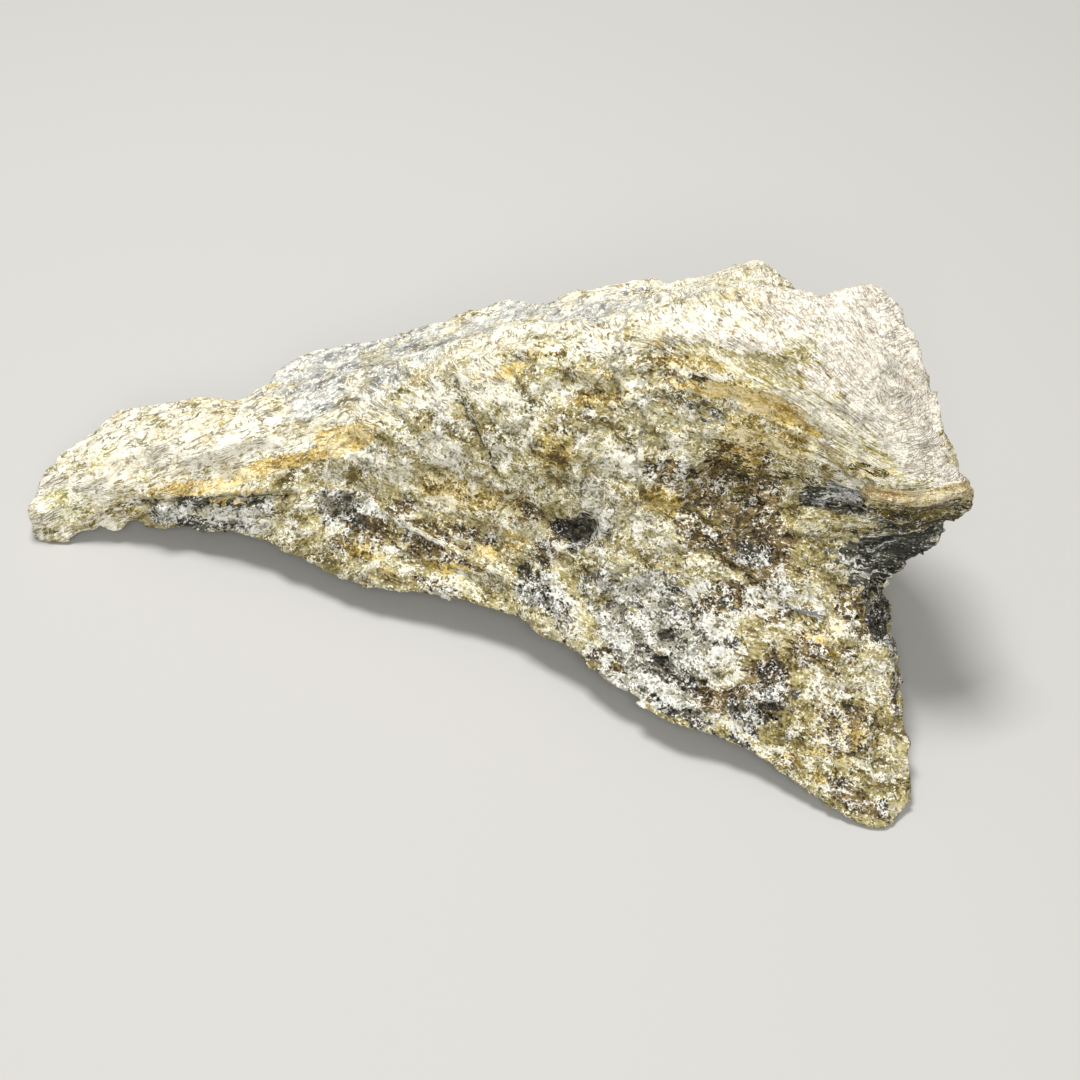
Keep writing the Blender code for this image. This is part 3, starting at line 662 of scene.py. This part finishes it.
def reliefTree():
    ins = {"Geometry": "Geometry", "Material": "Material", **dict.fromkeys(relief, "Float")}
    tree, w, given = newGroup("brokenRelief", "GeometryNodeTree", ins, {"Geometry": "Geometry"})
    named = {
        name: w.add("GeometryNodeInputNamedAttribute", {"Name": name}, data_type="FLOAT").outputs[0]
        for name in ("layer", "carved", "rear", "cream", "chalk", "sand", "flow", "glass", "slateAndShade", "tan", "grey")
    }
    spot = w.scaled(w.add("GeometryNodeInputPosition").outputs[0], 1 / mm)
    here = w.vector("ADD", spot, w.joined(given["Seed"], given["Seed"], given["Seed"]))
    x, y, z = w.split(here)
    bend = w.scaled(w.centre(w.noise(here, stone["bendSize"], 1.0)[1]), stone["bend"])
    layer = w.plus(named["layer"], w.split(bend)[0])
    worn = w.most(named["cream"], named["chalk"], named["sand"])
    clean = w.ramp(w.most(named["slateAndShade"], named["glass"], named["tan"]), 0.2, 0.9)
    smoother = w.ramp(w.most(worn, named["flow"], named["glass"], clean), 0.1, 0.9)
    fresh = w.timesPlus(smoother, -0.8, 1.0)
    fresh = w.times(fresh, w.timesPlus(named["rear"], given["Rear Boost"], 1.0))
    layered = w.most(named["flow"], named["cream"], named["chalk"])

    def noiseOf(at, size, detail, rough):
        return w.minus(w.noise(at, size, detail, rough)[0], 0.5)

    # layer edges, and the crevices between them
    run = given["Layer Run"]
    along = w.joined(w.maths("DIVIDE", x, run), w.maths("DIVIDE", y, run),
                     w.maths("DIVIDE", layer, given["Layer Pitch"]))
    field = noiseOf(along, 1.0, 2.0, 0.6)
    layers = w.times(field, given["Layer Height"])
    crevice = w.ramp(w.maths("ABSOLUTE", field), 0.035, 0.0)
    broken = w.ramp(noiseOf(here, 3.0, 2.0, 0.6), -0.06, 0.06)
    crevice = w.times(w.times(crevice, broken), given["Crevice Depth"])
    layers = w.minus(layers, w.times(crevice, w.timesPlus(layered, 0.7, 0.3)))

    def facets(at, size, much, tilt):
        # cells that each stand a little higher or lower and lean their own way
        cell = w.cells(at, size)
        own = w.centre(cell["Color"])
        off = w.vector("SUBTRACT", at, cell["Position"])
        lean = w.add("ShaderNodeVectorMath", {0: own, 1: off}, operation="DOT_PRODUCT").outputs["Value"]
        return w.times(w.timesPlus(lean, tilt, w.split(own)[2]), much)

    jagged = w.vector("ADD", here, bend)
    grains = facets(jagged, given["Grain Size"], given["Grain Height"], 1.0)
    grains = w.times(grains, w.timesPlus(named["grey"], 0.6, 0.4))
    flatAt = w.joined(x, y, w.times(layer, 1.8))
    steps = facets(w.vector("ADD", flatAt, bend), given["Step Size"], given["Step Height"], 0.5)
    rough = w.times(w.plus(grains, steps), fresh)

    lumps = w.times(noiseOf(here, given["Lump Size"], 1.0, 0.5), given["Lump Height"])
    fine = w.times(noiseOf(here, given["Fine Size"], 2.0, 0.65), given["Fine Height"])
    lumps = w.times(lumps, w.timesPlus(w.ramp(worn, 0.2, 0.9), -0.6, 1.0))
    lumps = w.times(lumps, w.timesPlus(named["rear"], given["Rear Boost"], 1.0))
    total = w.plus(w.plus(rough, layers), w.plus(lumps, fine))
    total = w.times(total, w.timesPlus(clean, -0.6, 1.0))
    total = w.plus(total, named["carved"])
    total = w.times(total, w.ramp(w.split(spot)[2], 0.3, 4.0))  # nothing moves where it touches the ground
    feeds = {"Geometry": given["Geometry"], "Name": "relief", "Value": total}
    kept = w.add("GeometryNodeStoreNamedAttribute", feeds, data_type="FLOAT", domain="POINT")
    total = w.minus(total, 0.10)
    # evened normals are shorter at thin edges, so the relief fades there and never folds over
    evened = w.add("GeometryNodeBlurAttribute", data_type="FLOAT_VECTOR")
    w.feed([s for s in evened.inputs if s.name == "Value" and s.type == "VECTOR"][0],
           w.add("GeometryNodeInputNormal").outputs[0])
    w.feed(evened.inputs["Iterations"], 6)
    evened = [s for s in evened.outputs if s.type == "VECTOR"][0]
    length = w.add("ShaderNodeVectorMath", {0: evened}, operation="LENGTH").outputs["Value"]
    total = w.times(total, w.ramp(length, 0.55, 0.98))
    offset = w.scaled(evened, w.times(total, mm))
    moved = w.add("GeometryNodeSetPosition", {"Geometry": kept.outputs[0], "Offset": offset})
    real = w.add("GeometryNodeRealizeInstances", {"Geometry": moved.outputs[0]})
    dressed = w.add("GeometryNodeSetMaterial", {"Geometry": real.outputs[0], "Material": given["Material"]})
    w.give(dressed.outputs[0])
    return tree


def grown(piece, tree, settings):
    # adds the tree to the piece with its inputs set, then keeps only the mesh that it makes
    modifier = piece.modifiers.new(tree.name, "NODES")
    modifier.node_group = tree
    for socket in tree.interface.items_tree:
        if socket.in_out == "INPUT" and socket.name in settings:
            modifier[socket.identifier] = settings[socket.name]
    return applied(piece)


def makeStone(material):
    body = applied(evenSkin())
    onePiece(body.data)
    markAreas(body.data)
    grown(body, reliefTree(), {**relief, "Material": material})
    body.name = "roughStone"
    body.data.name = "roughStone"
    body.data.shade_smooth()
    faces = body.data.polygons
    print("stone:", len(faces), "faces", sum(len(f.vertices) - 2 for f in faces), "triangles")
    return body


# What all the finishes share. Sizes are in mm

texture = {
    "crustAndGlint": (0.97, 0.945, 0.83),  # the palest of the small broken faces, and the white of the painted glints on them
    "cold": (0.93, 0.935, 0.895),  # the same on the grey and dark parts
    "gold": (0.95, 0.86, 0.60),  # and on the golden ones
    "wrinkle": (0.42, 0.40, 0.38),  # how much darker the thin lines are than the deep colour
    "stain": (0.86, 0.77, 0.50),
    "raggedness": 1.5,  # how torn the edges of the areas are
    "tornEdge": (0.45, 0.53),  # strengths between which an area appears
    "toneSteps": (0.22, 0.46, 0.80),  # tones at the deep, low and high colours
    "straightBend": 0.3,  # how far the layers bend where they run straight, in mm
    "patchSize": 2.6,
    "crustSize": 1.5,
    "crustFrom": 0.565,  # where crust starts in its noise
    "chipSize": 0.60,  # the fine bright edges around the crust, which are painted glints
    "chipSpread": 0.13,  # how far from the crust they reach, as a step of its noise
    "gapSize": 0.60,
    "gritSize": 0.20,
    "flakeSize": 0.36,
    "grainSize": 1.3,
    "crackleSize": 0.85,
    "streakRun": 6.0,
    "streakPitch": 0.50,
    "cloudSize": 3.2,
    "stainSize": 4.5,
    "middleTone": 0.52,  # of the clear stone, and how far each pattern moves it
    "cloudTone": 1.3,
    "grainTone": 0.30,
    "streakTone": 2.2,
    "flakeTone": 0.20,
    "gritTone": 0.28,
    "gritShine": 0.70,  # how far the grit moves the brightness of the crust
    "flakeLean": 1.0,  # how far the small faces lean, so that some catch the light
    "grainLean": 0.8,
    "bumpStrength": 0.8,
    "bumpDistance": 0.55,
    "ior": 1.56,
    "specular": 0.35,
}

# Thin lines on the worn skin, in mm
wrinkles = {"Pitch": 0.45, "Run": 2.6, "Width": 0.055}


def coloured(rgb):
    return (*rgb, 1.0)


def maskGroup():
    # turns an area's strength into a mask with a torn edge
    ins = dict.fromkeys(("Strength", "Tear", "Raggedness"), "Float")
    tree, w, given = newGroup("tornPatch", "ShaderNodeTree", ins, {"Mask": "Float"})
    edge = w.timesPlus(given["Tear"], given["Raggedness"], given["Strength"])
    w.give(w.ramp(edge, *texture["tornEdge"]))
    return tree


def wrinklesGroup():
    # thin dark lines that run along the layers
    ins = {"At": "Vector", **dict.fromkeys(("Layer", *wrinkles), "Float")}
    tree, w, given = newGroup("wrinkles", "ShaderNodeTree", ins, {"Line": "Float", "Height": "Float"})
    x, y, z = w.split(given["At"])
    at = w.joined(w.maths("DIVIDE", x, given["Run"]), w.maths("DIVIDE", y, given["Run"]),
                  w.maths("DIVIDE", given["Layer"], given["Pitch"]))
    field = w.noise(at, 1.0, 3.0, 0.6, 0.4)[0]
    away = w.maths("ABSOLUTE", w.minus(field, 0.5))
    line = w.ramp(away, given["Width"], 0.0)
    broken = w.ramp(w.noise(given["At"], 1.7, 2.0, 0.6)[0], 0.38, 0.54)
    w.give(w.times(line, broken), field)
    return tree


def shadesGroup():
    # clear stone from deep to high as the tone rises, with gaps below it and pale crust over it; the crust carries
    # painted glints and the gaps carry painted shade in the hollows
    ins = dict.fromkeys(("Tone", "CrustAndGlint", "GapAndShade", "Bright"), "Float")
    ins.update(dict.fromkeys(("Deep", "Low", "High", "Pale"), "Color"))
    tree, w, given = newGroup("shades", "ShaderNodeTree", ins, {"Color": "Color"})
    deepTone, lowTone, highTone = texture["toneSteps"]
    colour = w.mixed(w.ramp(given["Tone"], deepTone, lowTone), given["Deep"], given["Low"])
    colour = w.mixed(w.ramp(given["Tone"], lowTone, highTone), colour, given["High"])
    colour = w.mixed(given["GapAndShade"], colour, given["Deep"])
    crustAndGlint = w.mixed(given["Bright"], given["High"], given["Pale"])
    colour = w.mixed(given["CrustAndGlint"], colour, crustAndGlint)
    w.give(colour)
    return tree


def stoneMaterial():
    material = bpy.data.materials.new("stoneFinish")
    material.use_nodes = True
    tree = material.node_tree
    tree.nodes.clear()
    w = Wires(tree)
    groups = {"mask": maskGroup(), "wrinkles": wrinklesGroup(), "shades": shadesGroup()}

    def use(group, feeds):
        node = w.add("ShaderNodeGroup", node_tree=groups[group])
        for name, value in feeds.items():
            w.feed(node.inputs[name], value)
        return node.outputs

    def attribute(name):
        return w.add("ShaderNodeAttribute", attribute_name=name).outputs["Fac"]

    def centred(value, much):
        return w.timesPlus(value, much, -0.5 * much)

    here = w.scaled(w.add("ShaderNodeTexCoord").outputs["Object"], 1 / mm)
    straight = w.most(attribute("tan"), attribute("glass"), attribute("slateAndShade"), attribute("flow"))
    bend = w.centre(w.noise(here, stone["bendSize"], 1.0)[1])
    bend = w.scaled(bend, w.ramp(straight, 0.0, 0.6, stone["bend"], texture["straightBend"]))
    at = w.vector("ADD", here, bend)
    x, y, z = w.split(at)
    layer = w.plus(attribute("layer"), w.split(bend)[0])
    relief = attribute("relief")

    def along(run, pitch, wider=1.0):
        across = w.maths("DIVIDE", w.maths("DIVIDE", layer, pitch), wider)
        return w.joined(w.maths("DIVIDE", x, run), w.maths("DIVIDE", y, run), across)

    # the areas, blended one over another with torn edges
    coarse = w.split(w.noise(here, texture["patchSize"], 5.0, 0.66)[1])
    torn = w.split(w.noise(along(1.8, 0.6), 1.0, 2.0, 0.6)[1])
    masks = {}
    deep, low, high, nature = (coloured(c) for c in finish["olive"])
    for i, name in enumerate(list(finish)[1:]):
        tear = w.minus(w.plus(coarse[i % 3], torn[(i + 1) % 3]), 1.0)
        mask = use("mask", {"Strength": attribute(name), "Tear": tear, "Raggedness": texture["raggedness"]})["Mask"]
        masks[name] = mask
        deep, low, high, nature = (
            w.mixed(mask, under, coloured(over)) for under, over in zip((deep, low, high, nature), finish[name])
        )
    much, streaks, dullness = w.split(nature)[:3]
    worn = w.most(masks["cream"], masks["chalk"], masks["sand"])
    firm = w.most(masks["glass"], masks["tan"])
    dim = w.most(masks["grey"], masks["dark"], masks["brown"])
    golden = w.most(masks["honey"], masks["amber"], masks["tan"])
    beakLayers = w.most(firm, masks["slateAndShade"], w.times(masks["flow"], 0.6))
    beakLayers = w.timesPlus(beakLayers, 1.6, 1.0)

    # small flat cells lie along the layers; larger grains do not
    layered = w.joined(x, y, w.times(layer, 1.5))
    flake = w.cells(layered, texture["flakeSize"])
    grain = w.cells(at, texture["grainSize"])
    flakeParts, grainParts = w.split(flake["Color"]), w.split(grain["Color"])

    # the clear stone: clouds, streaks along the layers and grains
    cloudAt = w.joined(w.times(x, 0.65), w.times(y, 0.65), w.times(layer, 1.4))
    cloud = w.noise(cloudAt, texture["cloudSize"], 3.0, 0.6)[0]
    grit = w.vector("FLOOR", w.scaled(at, 1 / texture["gritSize"]))
    grit = w.add("ShaderNodeTexWhiteNoise", {"Vector": grit}).outputs["Value"]
    streaky = w.noise(along(texture["streakRun"], texture["streakPitch"], beakLayers), 1.0, 5.0, 0.66)[0]
    tone = w.plus(centred(cloud, texture["cloudTone"]), centred(grainParts[0], texture["grainTone"]))
    tone = w.plus(tone, w.times(centred(streaky, texture["streakTone"]), streaks))
    gritty = w.times(centred(grit, 1.0), w.timesPlus(masks["chalk"], -0.7, 1.0))
    finest = w.timesPlus(gritty, texture["gritTone"], centred(flakeParts[0], texture["flakeTone"]))
    tone = w.plus(w.plus(tone, finest), texture["middleTone"])

    # the crust: broken pale faces that cluster, with white flecks and chips painted in as glints, and gaps between
    # them
    bent = w.vector("ADD", here, w.scaled(w.add("ShaderNodeVectorRotate", {"Vector": bend, "Angle": 2.0},
                                              rotation_type="X_AXIS").outputs[0], 0.7))
    crumbs = w.noise(bent, texture["crustSize"], 6.0, 0.74)[0]
    pattern = w.add("ShaderNodeMix", {0: w.times(streaks, 0.75), 2: crumbs, 3: streaky}, data_type="FLOAT")
    drift = w.plus(centred(coarse[0], 0.14), centred(cloud, 0.20))
    pattern = w.plus(w.timesPlus(pattern.outputs[0], 0.86, 0.07), drift)
    # raised relief gets more crust and hollows less: painted light on the raised spots and painted shade in the
    # hollows
    pattern = w.plus(pattern, w.plus(much, w.ramp(relief, -0.6, 0.5, -0.05, 0.04)))
    pattern = w.plus(pattern, centred(flakeParts[1], 0.035))
    start = texture["crustFrom"]
    solid = w.ramp(pattern, start, start + 0.03)
    # thin bright chips round the crust: painted glints, set in the base colour
    chips = w.noise(bent, texture["chipSize"], 2.0, 0.65)[0]
    layeredChips = w.noise(along(2.4, 0.42, beakLayers), 1.0, 2.0, 0.65)[0]
    chips = w.add("ShaderNodeMix", {0: streaks, 2: chips, 3: layeredChips}, data_type="FLOAT").outputs[0]
    thin = w.maths("ABSOLUTE", w.minus(chips, 0.5))
    reach = w.ramp(pattern, start - texture["chipSpread"], start + 0.03, 0.002, 0.060)
    paintedGlintChip = w.ramp(w.minus(reach, thin), 0.0, 0.005)
    # a few whole flakes turned white: painted glints, set in the base colour
    paintedGlintFleck = w.times(w.ramp(flakeParts[1], 0.80, 0.84), w.ramp(flake["Distance"], 0.52, 0.36))
    paintedGlintFleck = w.times(paintedGlintFleck, w.ramp(pattern, start - 0.24, start - 0.04, 0.1, 1.0))
    crustAndGlint = w.times(solid, w.ramp(flakeParts[0], 0.10, 0.16, 0.4, 1.0))
    crustAndGlint = w.most(crustAndGlint, paintedGlintChip, paintedGlintFleck)
    # a dark rim just outside the crust: painted shade round its raised edges
    paintedRimShade = w.minus(w.ramp(pattern, start - 0.05, start), solid)
    gaps = w.noise(bent, texture["gapSize"], 2.0, 0.65)[0]
    # dark gaps between the grains, wider where the relief is low: painted shade in the hollows over the real gaps
    gapAndShade = w.ramp(w.plus(gaps, w.ramp(relief, -0.6, 0.2, -0.05, 0.0)), 0.405, 0.365)
    gapShare = w.timesPlus(w.most(worn, firm), -0.4, w.timesPlus(dim, 0.35, 0.6))
    gapAndShade = w.times(gapAndShade, gapShare)
    bright = w.timesPlus(flakeParts[2], 0.40, w.ramp(pattern, start - 0.1, start + 0.10, 0.35, 0.60))
    bright = w.timesPlus(gritty, texture["gritShine"], w.most(bright, w.times(paintedGlintFleck, 0.95)))

    crustAndGlintTint = w.mixed(dim, coloured(texture["crustAndGlint"]), coloured(texture["cold"]))
    crustAndGlintTint = w.mixed(golden, crustAndGlintTint, coloured(texture["gold"]))
    shown = w.times(crustAndGlint, w.timesPlus(gapAndShade, -0.75, 1.0))
    colour = use("shades", {"Tone": tone, "CrustAndGlint": shown, "GapAndShade": gapAndShade, "Bright": bright, "Deep": deep, "Low": low,
                            "High": high, "Pale": crustAndGlintTint})["Color"]
    paintedRimShade = w.times(paintedRimShade, w.minus(1.0, crustAndGlint))
    colour = w.mixed(w.times(paintedRimShade, 0.5), colour, deep)
    stain = w.ramp(w.noise(at, texture["stainSize"], 3.0, 0.55)[0], 0.47, 0.60)
    stain = w.times(stain, w.timesPlus(crustAndGlint, -0.6, 0.85))
    colour = w.mixed(w.times(masks["cream"], stain), colour, coloured(texture["stain"]), "MULTIPLY")

    # thin dark lines: along the layers on the worn skin, and round small grains on the sandy part
    folds = use("wrinkles", {"At": at, "Layer": layer, **wrinkles})
    crackle = w.ramp(w.cells(bent, texture["crackleSize"], "DISTANCE_TO_EDGE")["Distance"], 0.080, 0.01)
    crackle = w.times(crackle, w.ramp(w.plus(chips, centred(coarse[2], 0.6)), 0.46, 0.56, 0.0, 0.8))
    foldShare = w.timesPlus(masks["chalk"], -0.4, w.timesPlus(worn, 0.9, 0.12))
    crackleShare = w.most(masks["sand"], w.times(masks["cream"], 0.3))
    lines = w.most(w.times(folds["Line"], foldShare), w.times(crackle, crackleShare))
    colour = w.mixed(lines, colour, w.mixed(1.0, deep, coloured(texture["wrinkle"]), "MULTIPLY"))

    # each flake and grain leans its own way, so some of them catch the light
    fresh = w.timesPlus(worn, -0.6, 1.0)
    lean = w.scaled(w.centre(flake["Color"]), w.times(fresh, texture["flakeLean"]))
    wide = w.scaled(w.centre(grain["Color"]), w.times(fresh, texture["grainLean"]))
    normal = w.add("ShaderNodeNewGeometry").outputs["Normal"]
    normal = w.vector("NORMALIZE", w.vector("ADD", normal, w.vector("ADD", lean, wide)))
    height = w.timesPlus(folds["Height"], w.ramp(straight, 0.0, 0.6, 0.5, 1.1), crumbs)
    bump = w.add("ShaderNodeBump", {"Strength": texture["bumpStrength"], "Distance": texture["bumpDistance"] * mm,
                                    "Height": height, "Normal": normal})

    rough = w.plus(dullness, centred(flakeParts[2], 0.35))
    rough = w.minus(rough, w.times(crustAndGlint, 0.05))
    shader = w.add("ShaderNodeBsdfPrincipled", {
        "Base Color": colour, "Roughness": rough, "Normal": bump.outputs[0], "IOR": texture["ior"],
        "Specular IOR Level": texture["specular"],
    })
    out = w.add("ShaderNodeOutputMaterial")
    w.feed(out.inputs["Surface"], shader.outputs[0])
    return material


body = makeStone(stoneMaterial())
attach(body, "root")
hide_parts(stone["node"])
print("finish: done")

# Floor, light and camera. Places and sizes are in mm

studio = {
    "floor": (0.48, 0.48, 0.47, 1),
    "floorReach": 4.0,  # metres each way
    "floorRoughness": 0.85,
    "aim": (0, 0, 15),  # what the lights point at
    "world": (0.88, 0.86, 0.82, 1),
    "worldStrength": 0.34,
    "key": {"at": (-60, 110, 470), "size": 150, "watts": 2.36, "colour": (1.0, 0.98, 0.95)},
    "fill": {"at": (20, -400, 330), "size": 200, "watts": 1.42, "colour": (1.0, 0.985, 0.955)},
}


def makeFloor():
    mesh = bpy.data.meshes.new("floor")
    far = studio["floorReach"]
    mesh.from_pydata([(-far, -far, 0), (far, -far, 0), (far, far, 0), (-far, far, 0)], [], [(0, 1, 2, 3)])
    floor = placed("floor", mesh)
    material = bpy.data.materials.new("paleFloor")
    material.use_nodes = True
    shader = material.node_tree.nodes["Principled BSDF"]
    shader.inputs["Base Color"].default_value = studio["floor"]
    shader.inputs["Roughness"].default_value = studio["floorRoughness"]
    mesh.materials.append(material)


def makeLight(name):
    given = studio[name]
    light = bpy.data.lights.new(name, "AREA")
    light.size = given["size"] * mm
    light.energy = given["watts"]
    light.color = given["colour"]
    holder = placed(name, light)
    holder.location = Vector(given["at"]) * mm
    aim = Vector(studio["aim"]) * mm - holder.location
    holder.rotation_euler = aim.to_track_quat("-Z", "Y").to_euler()


def makeWorld():
    world = bpy.data.worlds.new("studio")
    world.use_nodes = True
    background = world.node_tree.nodes["Background"]
    background.inputs[0].default_value = studio["world"]
    background.inputs[1].default_value = studio["worldStrength"]
    bpy.context.scene.world = world


def makeCamera():
    holder = placed("camera", bpy.data.cameras.new("camera"))
    holder.location = Vector(camera["at"]) * mm
    holder.rotation_euler = (math.radians(90 - camera["down"]), 0, 0)
    holder.data.lens = camera["lens"]
    holder.data.clip_start = 0.01
    bpy.context.scene.camera = holder


bpy.context.scene.view_settings.view_transform = "Standard"
makeFloor()
makeWorld()
makeLight("key")
makeLight("fill")
makeCamera()
print("studio: done")
